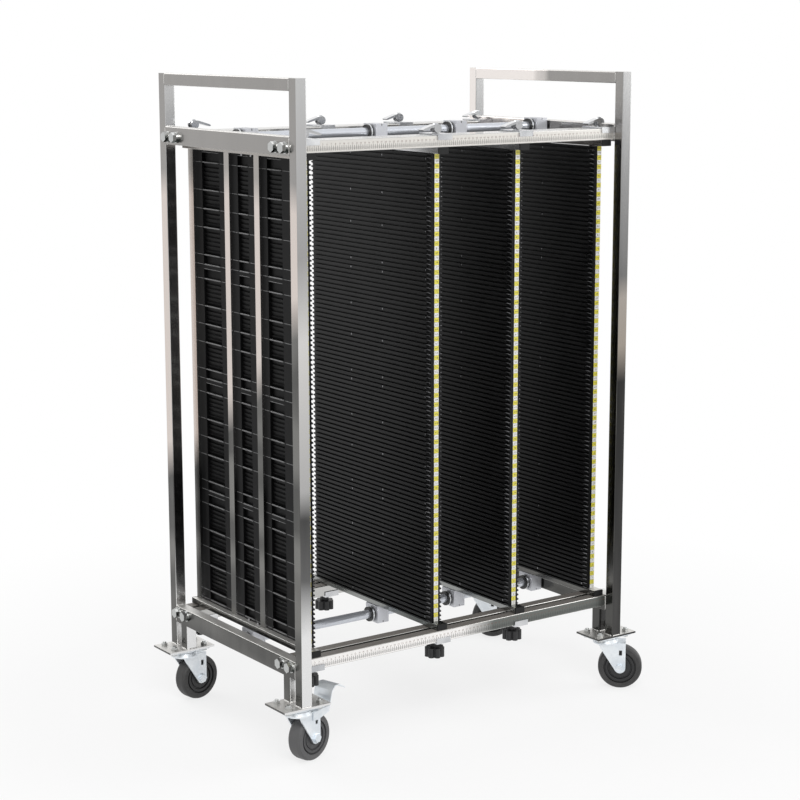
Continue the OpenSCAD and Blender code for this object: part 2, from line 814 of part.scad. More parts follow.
module caster_top() {
    c = 8;
    l = top_plate_l / 2;
    w = top_plate_w / 2;
    difference() {
        union() {
            translate([0, 0, caster_h - top_plate_t]) linear_extrude(top_plate_t)
                polygon([[-l + c, -w], [l - c, -w], [l, -w + c], [l, w - c],
                    [l - c, w], [-l + c, w], [-l, w - c], [-l, -w + c]]);
            upright_d(2 * race_r - 8, race_z, caster_h - top_plate_t);
            upright_d(axle_d, crown_z - side_gap, race_z);
            upright_d(2 * axle_d, crown_z - side_gap - 3, crown_z - side_gap);
        }
        for (bx = [-1, 1], by = [-1, 1])
            translate([bx * plate_bolt_x / 2, by * plate_bolt_y / 2, 0])
                upright_d(plate_bolt_d + 2 * bolt_fit, caster_h - top_plate_t - 1, caster_h + 1);
    }
}

module caster_tops() {
    color("lightgray")
        for (k = corners) translate([k[0] * caster_x, k[1] * caster_y, 0]) caster_top();
}

module plate_bolt() {
    under = caster_h - top_plate_t;
    translate([0, 0, under - 5]) hex(plate_bolt_flats, 5);
    upright_d(plate_bolt_d, under, foot_z + 9.5);
    difference() {
        translate([0, 0, foot_z]) hex(plate_bolt_flats, 6.5);
        upright_d(plate_bolt_d + 2 * run_fit, foot_z - 1, foot_z + 8);
    }
}

module caster_bolts() {
    color("lightgray")
        for (k = corners, bx = [-1, 1], by = [-1, 1])
            translate([k[0] * caster_x + bx * plate_bolt_x / 2, k[1] * caster_y + by * plate_bolt_y / 2, 0])
                plate_bolt();
}

module fork_leg_outline() {
    back = trail + leg_r;
    rise = crown_z + fork_t - axle_z;
    difference() {
        union() {
            translate([trail, 0]) circle(r = leg_r);
            polygon([[-18, rise], [back, rise], [back, 0], [trail, 0], [trail - leg_r * 0.81, -leg_r * 0.59],
                [-10, rise - 16]]);
        }
        translate([trail, 0]) circle(d = axle_d + 2 * run_fit);
        translate([trail + 1, 36]) square([7, 12], center = true);
    }
}

module fork(braked) {
    color("lightsteelblue") {
        difference() {
            union() {
                for (s = [0, 1]) mirror([0, s, 0])
                    translate([0, fork_out, axle_z]) rotate([90, 0, 0])
                        linear_extrude(fork_t) fork_leg_outline();
                translate([0, 0, crown_z]) linear_extrude(fork_t) {
                    circle(r = race_r);
                    translate([0, -fork_out]) square([trail + leg_r, 2 * fork_out]);
                }
                translate([0, 0, crown_z + fork_t])
                    cylinder(r1 = race_r, r2 = race_r - 3, h = race_z - side_gap - crown_z - fork_t);
            }
            upright_d(axle_d + 2 * run_fit, crown_z - 1, caster_h);
            if (braked)
                translate([pedal_pivot[0], 0, pedal_pivot[1]])
                    along_y(pedal_pin_d + 2 * run_fit, -fork_out - 1, fork_out + 1);
        }
        translate([trail, 0, axle_z]) {
            along_y(axle_d, -fork_out - seat_gap, fork_out + 9);
            translate([0, -fork_out - seat_gap, 0]) rotate([90, 0, 0]) hex(axle_flats, 5);
            difference() {
                translate([0, fork_out + seat_gap + 7, 0]) rotate([90, 0, 0]) hex(axle_flats, 7);
                along_y(axle_d + 2 * run_fit, fork_out - 1, fork_out + 8);
            }
        }
    }
}

module wheel() {
    r = wheel_d / 2;
    w = wheel_w / 2;
    hub = w + wheel_gap - side_gap;
    half = [[axle_d / 2 + run_fit, hub], [14, hub], [15, w - 2], [24, w - 2], [25, w - 4], [27, w - 4],
        [28, w - 1], [33, w - 1], [34, w - 4], [36, w - 4], [37, w], [r - 4, w], [r - 1, w - 3], [r, w - 7]];
    other = [for (i = [len(half) - 1 : -1 : 0]) [half[i][0], -half[i][1]]];
    color("dimgray") translate([trail, 0, axle_z]) rotate([90, 0, 0])
        rotate_extrude($fn = 96) polygon(concat(half, other));
}

// Brake pedal: two cheeks outside the fork, a bridge behind it and a curved foot plate

pedal_pivot = [trail - 5, crown_z - 8];
pedal_clear = 74;

module pedal() {
    in = fork_out + side_gap;
    out = in + pedal_t;
    top = crown_z + fork_t + 1;
    bridge = trail + leg_r + 1.5;
    crest = top + pedal_rise;
    tip = pedal_clear + tread_l;
    color("lightsteelblue") {
        for (s = [0, 1]) mirror([0, s, 0]) {
            translate([0, out, 0]) rotate([90, 0, 0]) linear_extrude(pedal_t)
                polygon([[pedal_pivot[0] - 7, pedal_pivot[1] - 7], [pedal_pivot[0] + 8, pedal_pivot[1] - 9],
                    [pedal_clear - 3, top - 12], [pedal_clear, top - 4], [pedal_clear, top],
                    [bridge, top], [pedal_pivot[0] - 7, top - 3]]);
            translate([pedal_pivot[0], 0, pedal_pivot[1]]) along_y(pedal_pin_d, fork_in + 0.5, out);
        }
        rotate([90, 0, 0]) linear_extrude(2 * out, center = true)
            polygon([[bridge, top - pedal_t], [pedal_clear, top - pedal_t], [pedal_clear + 8, crest - 8],
                [pedal_clear + 18, crest], [tip - 18, crest - 1], [tip, crest - 11],
                [tip + 1, crest - 9], [tip - 17, crest + 1.5], [pedal_clear + 17, crest + 2.5],
                [pedal_clear + 6, crest - 6], [pedal_clear - 2, top], [bridge, top]]);
    }
}

end_frame_left();
end_frame_right();
cross_rails();
guide_shafts();
frame_bolts();
ruler_strips();
caster_tops();
caster_bolts();

translate([panel_x[0], 0, 0]) panel_frame(true, [1]);  // panel_a_frame
translate([panel_x[0], 0, 0]) panel_caps();  // panel_a_caps
translate([panel_x[0], 0, 0]) panel_boards([1]);  // panel_a_boards
translate([panel_x[0], 0, 0]) panel_screws([1]);  // panel_a_screws
translate([panel_x[0], 0, 0]) panel_label();  // panel_a_label
translate([panel_x[0], 0, 0]) panel_bearings();  // panel_a_bearings
translate([panel_x[0], 0, 0]) panel_clamps(true);  // panel_a_clamps

translate([panel_x[1], 0, 0]) panel_frame(true, [-1, 1]);  // panel_b_frame
translate([panel_x[1], 0, 0]) panel_caps();  // panel_b_caps
translate([panel_x[1], 0, 0]) panel_boards([-1, 1]);  // panel_b_boards
translate([panel_x[1], 0, 0]) panel_screws([-1, 1]);  // panel_b_screws
translate([panel_x[1], 0, 0]) panel_label();  // panel_b_label
translate([panel_x[1], 0, 0]) panel_bearings();  // panel_b_bearings
translate([panel_x[1], 0, 0]) panel_clamps(true);  // panel_b_clamps

translate([panel_x[2], 0, 0]) panel_frame(true, [-1, 1]);  // panel_c_frame
translate([panel_x[2], 0, 0]) panel_caps();  // panel_c_caps
translate([panel_x[2], 0, 0]) panel_boards([-1, 1]);  // panel_c_boards
translate([panel_x[2], 0, 0]) panel_screws([-1, 1]);  // panel_c_screws
translate([panel_x[2], 0, 0]) panel_label();  // panel_c_label
translate([panel_x[2], 0, 0]) panel_bearings();  // panel_c_bearings
translate([panel_x[2], 0, 0]) panel_clamps(true);  // panel_c_clamps

translate([panel_x[3], 0, 0]) panel_frame(false, [-1]);  // panel_d_frame
translate([panel_x[3], 0, 0]) panel_caps();  // panel_d_caps
translate([panel_x[3], 0, 0]) panel_boards([-1]);  // panel_d_boards
translate([panel_x[3], 0, 0]) panel_screws([-1]);  // panel_d_screws
translate([panel_x[3], 0, 0]) panel_label();  // panel_d_label
translate([panel_x[3], 0, 0]) panel_bearings();  // panel_d_bearings
translate([panel_x[3], 0, 0]) panel_clamps(false);  // panel_d_clamps

place_cam(0, -1);  // cam_a_front
place_cam(0, 1);  // cam_a_rear
place_cam(1, -1);  // cam_b_front
place_cam(1, 1);  // cam_b_rear
place_cam(2, -1);  // cam_c_front
place_cam(2, 1);  // cam_c_rear
place_cam(3, -1);  // cam_d_front
place_cam(3, 1);  // cam_d_rear
place_knob(0, -1);  // knob_a_front
place_knob(0, 1);  // knob_a_rear
place_knob(1, -1);  // knob_b_front
place_knob(1, 1);  // knob_b_rear
place_knob(2, -1);  // knob_c_front
place_knob(2, 1);  // knob_c_rear

place_caster(0) fork(true);  // fork_near_left
place_caster(1) fork(false);  // fork_near_right
place_caster(2) fork(false);  // fork_far_left
place_caster(3) fork(true);  // fork_far_right
place_caster(0) wheel();  // wheel_near_left
place_caster(1) wheel();  // wheel_near_right
place_caster(2) wheel();  // wheel_far_left
place_caster(3) wheel();  // wheel_far_right
place_caster(0) pedal();  // pedal_near_left
place_caster(3) pedal();  // pedal_far_right
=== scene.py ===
# %% [markdown]
# # A steel trolley with slotted panels
# The trolley is a polished tube frame on four casters. Four panels slide along two round shafts, and each
# panel carries black moulded boards with a slot every 10 mm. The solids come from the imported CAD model, so
# this lesson adds what a solid does not have: finishes, printed numbers, ruler marks, weld beads, crests on
# the ribs, and light.

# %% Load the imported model
import json
import math

import bpy
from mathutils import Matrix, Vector


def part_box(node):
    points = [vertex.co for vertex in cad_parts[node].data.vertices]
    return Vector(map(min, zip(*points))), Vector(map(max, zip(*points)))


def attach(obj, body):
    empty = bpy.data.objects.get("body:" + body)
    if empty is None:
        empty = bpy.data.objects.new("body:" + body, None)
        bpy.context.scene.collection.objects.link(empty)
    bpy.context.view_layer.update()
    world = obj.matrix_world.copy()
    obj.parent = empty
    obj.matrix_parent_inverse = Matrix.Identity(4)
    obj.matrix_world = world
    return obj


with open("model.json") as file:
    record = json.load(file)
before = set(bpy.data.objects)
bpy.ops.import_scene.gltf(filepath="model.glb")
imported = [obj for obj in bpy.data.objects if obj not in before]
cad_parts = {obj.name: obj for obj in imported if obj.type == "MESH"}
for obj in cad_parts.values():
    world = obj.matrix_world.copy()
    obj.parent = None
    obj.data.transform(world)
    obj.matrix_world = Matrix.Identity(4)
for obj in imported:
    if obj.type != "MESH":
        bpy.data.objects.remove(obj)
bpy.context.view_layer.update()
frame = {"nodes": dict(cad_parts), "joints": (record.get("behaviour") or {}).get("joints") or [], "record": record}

nodes = frame["nodes"]
slot_of = {part["node"]: part["material_slot"] for part in frame["record"]["subparts"]}
joint_of = {joint["name"]: joint for joint in frame["joints"]}
MM = 0.001

# %% [markdown]
# ## The camera
# The trolley is seen from its left front corner, from a little above the handles, with a long lens. The
# place was worked out from straight edges of the frame whose lengths are known, so the uprights lean as
# little as they do in a picture taken from that far away.

# %% Camera
CAMERA_AT = (-2.4809, -3.5081, 1.4978)
CAMERA_YAW, CAMERA_PITCH, CAMERA_ROLL = 35.37, -10.79, 0.07
camera_data = bpy.data.cameras.new("studio_camera")
camera_data.sensor_width = 36.0
camera_data.lens = 88.9
camera_data.clip_end = 200.0
camera = bpy.data.objects.new("studio_camera", camera_data)
camera.location = CAMERA_AT
camera.rotation_euler = (
    math.radians(90.0 + CAMERA_PITCH),
    math.radians(CAMERA_ROLL),
    math.radians(-CAMERA_YAW),
)
bpy.context.scene.collection.objects.link(camera)
bpy.context.scene.camera = camera
print("camera", CAMERA_AT, "lens", camera_data.lens)

# %% [markdown]
# ## Writing finishes as sums
# A material is a graph of nodes, and wiring it line by line hides what it does. Here one small class wraps
# an output socket and gives it plus, minus, times and compare, so a finish reads like a sum. Every other
# node comes from one method that sets the node's choices first and then its sockets.


# %% A socket that can be used in sums
class Signal:
    """One output socket of a finish; sums on it add Math nodes."""

    def __init__(self, finish, socket):
        self.finish = finish
        self.socket = socket

    def math(self, operation, first, second=0.0):
        """One Math node on two values."""
        return self.finish.add("ShaderNodeMath", {"operation": operation}, {0: first, 1: second})

    def __add__(self, other):
        return self.math("ADD", self, other)

    def __radd__(self, other):
        return self.math("ADD", other, self)

    def __sub__(self, other):
        return self.math("SUBTRACT", self, other)

    def __rsub__(self, other):
        return self.math("SUBTRACT", other, self)

    def __mul__(self, other):
        return self.math("MULTIPLY", self, other)

    def __rmul__(self, other):
        return self.math("MULTIPLY", other, self)

    def __truediv__(self, other):
        return self.math("DIVIDE", self, other)

    def __mod__(self, other):
        return self.math("FLOORED_MODULO", self, other)

    def __gt__(self, other):
        return self.math("GREATER_THAN", self, other)

    def __lt__(self, other):
        return self.math("LESS_THAN", self, other)

    def __abs__(self):
        return self.math("ABSOLUTE", self)


# %% A finish and the one method that adds its nodes
def pick(sockets, key):
    """The socket with that number or identifier."""
    if isinstance(key, int):
        return sockets[key]
    return next(socket for socket in sockets if socket.identifier == key)


class Graph:
    """A node tree whose nodes are added by type."""

    def __init__(self, tree):
        self.tree = tree

    def add(self, kind, settings=None, inputs=None, output=0):
        """Adds one node, sets its choices (stops fill a colour ramp), feeds it and gives one output."""
        node = self.tree.nodes.new(kind)
        for name, value in (settings or {}).items():
            if name == "stops":
                while len(node.color_ramp.elements) < len(value):
                    node.color_ramp.elements.new(0.5)
                for element, (position, colour) in zip(node.color_ramp.elements, value):
                    element.position = position
                    element.color = (*colour, 1.0)
            else:
                setattr(node, name, value)
        for key, value in (inputs or {}).items():
            self.feed(pick(node.inputs, key), value)
        return Signal(self, pick(node.outputs, output))

    def feed(self, socket, value):
        """Links a signal to a socket, or sets the socket to a constant."""
        if isinstance(value, Signal):
            self.tree.links.new(value.socket, socket)
        elif socket.type == "RGBA":
            socket.default_value = (*value, 1.0)
        else:
            socket.default_value = value

    def fade(self, value, low, high, start=0.0, end=1.0):
        """start below low, end above high, and straight between them."""
        return self.add(
            "ShaderNodeMapRange",
            {"clamp": True},
            {"Value": value, "From Min": low, "From Max": high, "To Min": start, "To Max": end},
        )

    def mix(self, mask, first, second):
        """The first colour where the mask is 0, the second where it is 1."""
        return self.add(
            "ShaderNodeMix",
            {"data_type": "RGBA"},
            {"Factor_Float": mask, "A_Color": first, "B_Color": second},
            "Result_Color",
        )

    def seen_directly(self):
        """1 for rays that should see the white background: from the camera, a mirror or glass."""
        names = ("Is Camera Ray", "Is Glossy Ray", "Is Transmission Ray")
        camera_ray, glossy_ray, glass_ray = (self.add("ShaderNodeLightPath", output=name) for name in names)
        return self.fade(camera_ray + glossy_ray + glass_ray, 0.0, 1.0)


class Finish(Graph):
    """One material, whose shader is fed by socket name."""

    def __init__(self, name):
        self.material = bpy.data.materials.new(name)
        self.material.use_nodes = True
        super().__init__(self.material.node_tree)
        self.shader = self.tree.nodes["Principled BSDF"]
        self.place = self.add("ShaderNodeTexCoord", output="Object")

    def surface(self, **values):
        """Feeds the shader; an underscore in a name stands for the space in the socket's name."""
        for name, value in values.items():
            self.feed(pick(self.shader.inputs, name.replace("_", " ")), value)
        return self.material

    def along(self, axis, vector=None):
        """One part of a vector, or of the place on the object if none is given."""
        return self.add("ShaderNodeSeparateXYZ", inputs={"Vector": vector or self.place}, output=axis)

    def normal(self, axis):
        """How far the surface faces along one axis of its own object."""
        return self.along(axis, self.add("ShaderNodeTexCoord", output="Normal"))

    def noise(self, scale, detail=3.0, stretch=(1.0, 1.0, 1.0)):
        """Soft noise; a stretch below 1 draws it out along that axis."""
        place = self.place
        if stretch != (1.0, 1.0, 1.0):
            place = self.add("ShaderNodeMapping", inputs={"Vector": place, "Scale": stretch})
        settings = {"Vector": place, "Scale": scale, "Detail": detail}
        return self.add("ShaderNodeTexNoise", inputs=settings)

    def cells(self, scale):
        """Small cells, each with a random colour of its own."""
        settings = {"Vector": self.place, "Scale": scale}
        return self.add("ShaderNodeTexVoronoi", inputs=settings, output="Color")

    def bump(self, height, strength, distance):
        """A normal tilted by a height, for marks too fine to model."""
        return self.add(
            "ShaderNodeBump", inputs={"Height": height, "Strength": strength, "Distance": distance}
        )


print("finishes are ready to write")

# %% [markdown]
# ## Polished steel
# Stainless furniture tube is ground and then polished, so it mirrors its surroundings, a little blurred. A
# single grey would look like paint. The tone drifts slowly along each tube as a painted reflection, standing
# in for the blurred surroundings in the mirror; fine belt lines break the mirror, and the roughness wanders
# with handling.
#
# Two things change with the place. The tops of the lower rails are darker and duller. The panels' lower
# bars are painted darker than the flats above them, as a painted reflection of dark surroundings below.


# %% Polished rails, panels and clamps
FRAME_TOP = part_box("end_frame_left")[1].z
HALF_UP = 0.5 * FRAME_TOP
# A face looks along an axis if its normal reaches this far along it.
FACING = 0.7
BELT_LINES = (900.0, 2.0, (1.0, 1.0, 0.04))
DULL_TOP_TONE = (0.20, 0.185, 0.17)
PAINTED_DARK_BAR_REFLECTION = (0.16, 0.17, 0.16)


def polished_steel(name, dark, light, roughness=0.09, reflection_scale=2.6, dull_tops=False, painted_dark_below=None):
    """Polished steel with a painted reflection drifting between two greys, darker dull tops or a painted dark
    foot.
    """
    steel = Finish(name)
    # The slow cloud of tone is a painted reflection of the surroundings, not a mark in the steel.
    painted_reflection_cloud = steel.fade(steel.noise(reflection_scale, 2.0), 0.36, 0.64)
    smear = steel.noise(38.0, 4.0)
    belt = steel.noise(*BELT_LINES)
    tone = steel.mix(painted_reflection_cloud, dark, light)
    tone = steel.mix(0.10 * smear, tone, (0.30, 0.30, 0.30))
    rough = roughness + 0.10 * smear * smear + 0.04 * belt
    metal = 1.0
    if dull_tops:
        # Faces of the lower rails that look up get a darker, duller tone.
        top = (steel.along("Z") < HALF_UP) * (steel.normal("Z") > FACING)
        tone = steel.mix(top, tone, DULL_TOP_TONE)
        rough = rough + 0.35 * top
        metal = 1.0 - 0.8 * top
    # Below the given height the panels' bars get a painted dark reflection instead of their own tone.
    if painted_dark_below:
        foot = steel.fade(steel.along("Z"), painted_dark_below, painted_dark_below + 0.02, 1.0, 0.0)
        tone = steel.mix(foot * steel.fade(painted_reflection_cloud, 0.0, 1.0, 0.9, 0.6), tone, PAINTED_DARK_BAR_REFLECTION)
    return steel.surface(
        Base_Color=tone,
        Metallic=metal,
        Roughness=rough,
        Normal=steel.bump(belt, 0.06, 0.0002),
    )


BAR_TALL = 0.030
bar_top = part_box("panel_b_frame")[0].z + BAR_TALL
rail_steel = polished_steel("rail_steel", (0.42, 0.42, 0.41), (0.74, 0.73, 0.71), dull_tops=True)
panel_steel = polished_steel(
    "panel_steel", (0.46, 0.46, 0.47), (0.78, 0.78, 0.78), 0.16, painted_dark_below=bar_top
)
clamp_steel = polished_steel("clamp_steel", (0.50, 0.51, 0.53), (0.78, 0.79, 0.80), 0.16, 14.0)
print("rails, panels and clamps have their steel; bars are darker below", round(bar_top, 4), "m")

# %% [markdown]
# ## Tall steel with broad tones
# A tall polished upright is never one grey: from top to bottom its mirror image changes in a few broad zones
# with soft edges. The studio here is evenly white, so these zones are painted reflections in the tall steel's
# colour, set by height.
#
# All of these tones are painted reflections. The sides have three zones: a grey upper one, a paler middle and
# low dark bands, whose edge falls towards the rear. The rear half of the right handle is painted brighter.
# Faces towards the front get a short run of painted tones of their own, and level faces are painted pale and
# are a little rougher.


# %% End frames and outer panels
UPPER_EDGE = 1.16
SOFT_EDGE = 0.03
LOW_EDGE, LOW_EDGE_FALL = 0.75, 0.70
LOW_BANDS = ((0.075, 0.075, 0.072), (0.17, 0.168, 0.16))
LEVEL_TONE = (0.68, 0.67, 0.65)
STREAK_TONE = (0.62, 0.60, 0.57)


def run_of_tones(steel, height, tones):
    """Colour by height: each tone is (height in metres, grey, warmth), with soft steps between them."""
    stops = []
    for level, grey, warmth in tones:
        stops.append((level / FRAME_TOP, (grey * (1.0 + warmth), grey, grey * (1.0 - warmth))))
    return steel.add("ShaderNodeValToRGB", {"stops": stops}, {"Fac": height / FRAME_TOP}, "Color")


def mirror_steel(name, upper, middle, front_tones, rear_upper=None):
    """Polished tube with painted reflections: three zones of tone at its sides and a run of tones in front."""
    steel = Finish(name)
    sideways = abs(steel.normal("X")) > FACING
    level = abs(steel.normal("Z")) > FACING
    wander = steel.noise(7.0, 2.0, (1.0, 1.0, 0.25))
    streak = steel.noise(30.0, 3.0, (1.0, 1.0, 0.12))
    belt = steel.noise(*BELT_LINES)
    bands = steel.fade(steel.noise(9.0, 1.0, (0.3, 0.3, 1.0)), 0.42, 0.62)
    height = steel.along("Z") + 0.08 * wander - 0.04
    over_low = height - (LOW_EDGE - LOW_EDGE_FALL * steel.along("Y"))
    rear = steel.fade(steel.along("Y") + 0.05 * streak, 0.0, 0.06)
    side = steel.mix(bands, *LOW_BANDS)
    side = steel.mix(steel.fade(over_low, -0.05, SOFT_EDGE), side, middle)
    above = steel.mix(rear, upper, rear_upper or upper)
    side = steel.mix(steel.fade(height, UPPER_EDGE - SOFT_EDGE, UPPER_EDGE + SOFT_EDGE), side, above)
    tone = steel.mix(sideways, run_of_tones(steel, height, front_tones), side)
    tone = steel.mix(level, tone, LEVEL_TONE)
    tone = steel.mix(0.12 * streak * streak, tone, STREAK_TONE)
    return steel.surface(
        Base_Color=tone,
        Metallic=1.0,
        Roughness=0.16 + 0.12 * streak * streak + 0.05 * belt + 0.25 * level,
        Normal=steel.bump(belt, 0.06, 0.0002),
    )


# Each tone is its height in metres, its grey and its warmth.
LEFT_FRONT_TONES = (
    (0.26, 0.80, 0.00),
    (0.38, 0.12, 0.00),
    (0.52, 0.06, 0.00),
    (0.58, 0.42, 0.01),
    (0.88, 0.64, 0.02),
    (1.04, 0.34, 0.01),
    (1.39, 0.52, 0.00),
)
RIGHT_FRONT_TONES = (
    (0.00, 0.05, 0.00),
    (0.72, 0.02, 0.00),
    (0.80, 0.30, 0.14),
    (0.90, 0.34, 0.10),
    (0.95, 0.16, 0.00),
    (1.39, 0.42, 0.00),
)
UPPER_GREY, PANEL_UPPER, BRIGHT_UPPER = (0.30, 0.29, 0.28), (0.36, 0.34, 0.32), (0.84, 0.79, 0.76)
PALE_MIDDLE, DARK_MIDDLE = (0.66, 0.59, 0.55), (0.20, 0.19, 0.18)
# The left frame gets a painted pale middle and the right frame a painted dark middle, as painted reflections.
frame_left_steel = mirror_steel("frame_left_steel", UPPER_GREY, PALE_MIDDLE, LEFT_FRONT_TONES)
frame_right_steel = mirror_steel(
    "frame_right_steel", UPPER_GREY, DARK_MIDDLE, RIGHT_FRONT_TONES, BRIGHT_UPPER
)
outer_panel_steel = mirror_steel("outer_panel_steel", PANEL_UPPER, PALE_MIDDLE, LEFT_FRONT_TONES)
print("tall steel written for a frame", round(FRAME_TOP, 4), "m tall")

# %% [markdown]
# ## Bright small steel
# Bolts, screws, shafts and cam levers are turned or plated, with marks too fine to see one by one. Bolts and
# levers have many small facets, and those that look down are painted dark as painted shade. Which ones look
# down depends on how a lever is turned at the moment, so the painted shade reads the direction in the room,
# not in the part.


# %% Shafts, bolts, screws and levers
def bright_steel(name, colour, roughness, painted_underside_shade=None, metal=1.0):
    """Turned or plated steel with very fine marks; facets that look down can get a painted dark shade."""
    bright = Finish(name)
    smear = bright.noise(160.0, 3.0)
    fine = bright.noise(1800.0, 1.0)
    tone = bright.mix(0.35 * smear, colour, (0.33, 0.33, 0.34))
    if painted_underside_shade:
        # Facets that look down get the dark tone: painted shade.
        facing = bright.add("ShaderNodeNewGeometry", output="Normal")
        tone = bright.mix(bright.fade(bright.along("Z", facing), -0.35, 0.25), painted_underside_shade, tone)
    return bright.surface(
        Base_Color=tone,
        Metallic=metal,
        Roughness=roughness + 0.12 * smear,
        Normal=bright.bump(fine, 0.05, 0.0001),
    )


shaft_chrome = bright_steel("shaft_chrome", (0.68, 0.71, 0.77), 0.14, metal=0.65)
bolt_bright = bright_steel("bolt_bright", (0.90, 0.91, 0.90), 0.12, (0.05, 0.06, 0.055))
screw_bright = bright_steel("screw_bright", (0.30, 0.30, 0.31), 0.20)
cam_chrome = bright_steel("cam_chrome", (0.86, 0.87, 0.88), 0.06, (0.03, 0.03, 0.032))
print("bright steel written for shafts, bolts, screws and levers")

# %% [markdown]
# ## Zinc on the casters
# Pressed caster forks are bright zinc plated: bluish, paler than steel and a little mottled. Cells of
# slightly different tone under a soft noise give that mottle without drawing lines on it.


# %% Zinc finish
def zinc_plate():
    """Bright zinc: a soft haze of two pale blue greys over faint cells."""
    zinc = Finish("caster_zinc")
    spangle = zinc.cells(170.0)
    grey = zinc.add("ShaderNodeRGBToBW", inputs={0: spangle})
    haze = zinc.noise(26.0, 4.0)
    tone = zinc.mix(zinc.fade(haze, 0.3, 0.7), (0.72, 0.77, 0.82), (0.92, 0.95, 0.97))
    tone = zinc.mix(0.12 * grey, tone, (0.42, 0.46, 0.50))
    return zinc.surface(
        Base_Color=tone,
        Metallic=0.7,
        Roughness=0.24 + 0.16 * haze + 0.05 * grey,
        Normal=zinc.bump(grey, 0.04, 0.0002),
    )


caster_zinc = zinc_plate()
print("zinc finish written")

# %% [markdown]
# ## Black plastics
# The boards are moulded from a carbon-filled plastic: dark, a little glossy on the crowns, with the faint
# orange-peel of the mould. The knobs and end caps are a duller black. Dust shows first as a lighter haze.
# The upward lips of the slot mouths at the front are painted pale, a painted highlight where the mouths
# catch the light. The left outer panel shows the backs of its boards, which are duller.


# %% Moulded black finishes
DUST_HAZE = (0.16, 0.16, 0.165)
PAINTED_LIP_HIGHLIGHT = (0.30, 0.30, 0.31)
MOUTH_DEEP, MOUTH_EDGE = 0.011, 0.002


def moulded_black(name, colour, roughness, grain_scale, haze_strength, gloss=0.5, lip_highlight_to=None):
    """A filled plastic: dark colour, soft haze, a fine mould grain and, up to lip_highlight_to, a painted
    highlight on the lips.
    """
    black = Finish(name)
    haze = black.noise(18.0, 5.0)
    grain = black.noise(grain_scale, 2.0)
    tone = black.mix(haze_strength * haze * haze, colour, DUST_HAZE)
    if lip_highlight_to:
        # Upward faces near the front edge are painted pale: a painted highlight on the slot mouths.
        painted_lip = black.fade(black.normal("Z"), 0.35, 0.75)
        front = black.fade(black.along("Y"), lip_highlight_to - MOUTH_EDGE, lip_highlight_to + MOUTH_EDGE, 1.0, 0.0)
        tone = black.mix(painted_lip * front * black.fade(haze, 0.3, 0.6), tone, PAINTED_LIP_HIGHLIGHT)
    return black.surface(
        Base_Color=tone,
        Roughness=roughness + 0.16 * haze - 0.05 * grain,
        Specular_IOR_Level=gloss,
        Normal=black.bump(grain, 0.12, 0.0003),
    )


mouth_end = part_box("panel_b_boards")[0].y + MOUTH_DEEP
board_black = moulded_black("board_black", (0.004, 0.004, 0.0043), 0.32, 700.0, 0.02, 0.19, mouth_end)
outer_board_black = moulded_black(
    "outer_board_black", (0.003, 0.003, 0.0032), 0.38, 700.0, 0.02, 0.09, mouth_end
)
cap_black = moulded_black("cap_black", (0.008, 0.008, 0.008), 0.42, 420.0, 0.04, 0.25)
knob_black = moulded_black("knob_black", (0.010, 0.010, 0.011), 0.36, 520.0, 0.07)
print("black plastics written")

# %% [markdown]
# ## Rubber wheels
# The tyre is a dark tread round a blacker hub. The finish finds the distance from the axle, which it reads
# from the wheel's own joint, so it stays right whichever way the caster points. Rubber that has rolled over
# dust turns grey in patches. The front left wheel's rubber is painted lighter, as painted light, and the
# other wheels darker, as painted shade.


# %% Wheel finishes
HUB_RADIUS, HUB_EDGE = 0.036, 0.0015
HUB_SHARE = 0.65


def wheel_rubber(joint_name, tread_grey):
    """Tread and hub of one wheel, told apart by the distance from its axle."""
    joint = joint_of[joint_name]
    rubber = Finish(joint_name.replace("spin", "rubber"))
    centre = tuple(joint["pos_m"])
    axle = tuple(joint["axis"])
    vector_math = "ShaderNodeVectorMath"
    arm = rubber.add(vector_math, {"operation": "SUBTRACT"}, {0: rubber.place, 1: centre})
    across = rubber.add(vector_math, {"operation": "CROSS_PRODUCT"}, {0: arm, 1: axle})
    radius = rubber.add(vector_math, {"operation": "LENGTH"}, {0: across}, "Value")
    tread = rubber.fade(radius, HUB_RADIUS, HUB_RADIUS + HUB_EDGE)
    dust = rubber.noise(45.0, 5.0)
    grain = rubber.noise(900.0, 2.0)
    hub_grey = HUB_SHARE * tread_grey
    hub_tone = (hub_grey, hub_grey, 1.05 * hub_grey)
    tone = rubber.mix(tread, hub_tone, (tread_grey, tread_grey, 1.03 * tread_grey))
    tone = rubber.mix(0.30 * tread * dust * dust, tone, (0.20, 0.19, 0.18))
    return rubber.surface(
        Base_Color=tone,
        Roughness=0.42 + 0.20 * tread * dust + 0.06 * grain,
        Normal=rubber.bump(grain, 0.15, 0.0003),
    )


print("wheel finish written")

# %% [markdown]
# ## Bearings
# Each panel hangs on aluminium blocks that run on the shafts. A block has a grey anodised body and, on one
# side, a stack of three rings: black seal, steel, black seal. They are one CAD node, so the finish tells
# them apart by how far along the shaft they sit from the middle of their panel.

# %% Bearing finish
RING_START, RING_PITCH = 0.015, 0.0035
HAIR = 0.00002


def bearing_block(name, panel_middle):
    """Anodised block with black, steel and black rings on its left."""
    block = Finish(name)
    left = panel_middle - block.along("X")
    rings = left > RING_START + HAIR
    steel = abs(left - (RING_START + 1.5 * RING_PITCH)) < 0.5 * RING_PITCH
    satin = block.noise(240.0, 3.0)
    drift = block.noise(20.0, 2.0)
    anodised = block.mix(drift, (0.50, 0.51, 0.54), (0.68, 0.69, 0.73))
    stack = block.mix(steel, (0.012, 0.012, 0.012), (0.70, 0.71, 0.72))
    return block.surface(
        Base_Color=block.mix(rings, anodised, stack),
        Metallic=0.55 - 0.55 * rings + steel * rings * 0.95,
        Roughness=0.34 + 0.12 * satin - 0.20 * steel * rings,
        Normal=block.bump(satin, 0.06, 0.0002),
    )


print("bearing finish written")

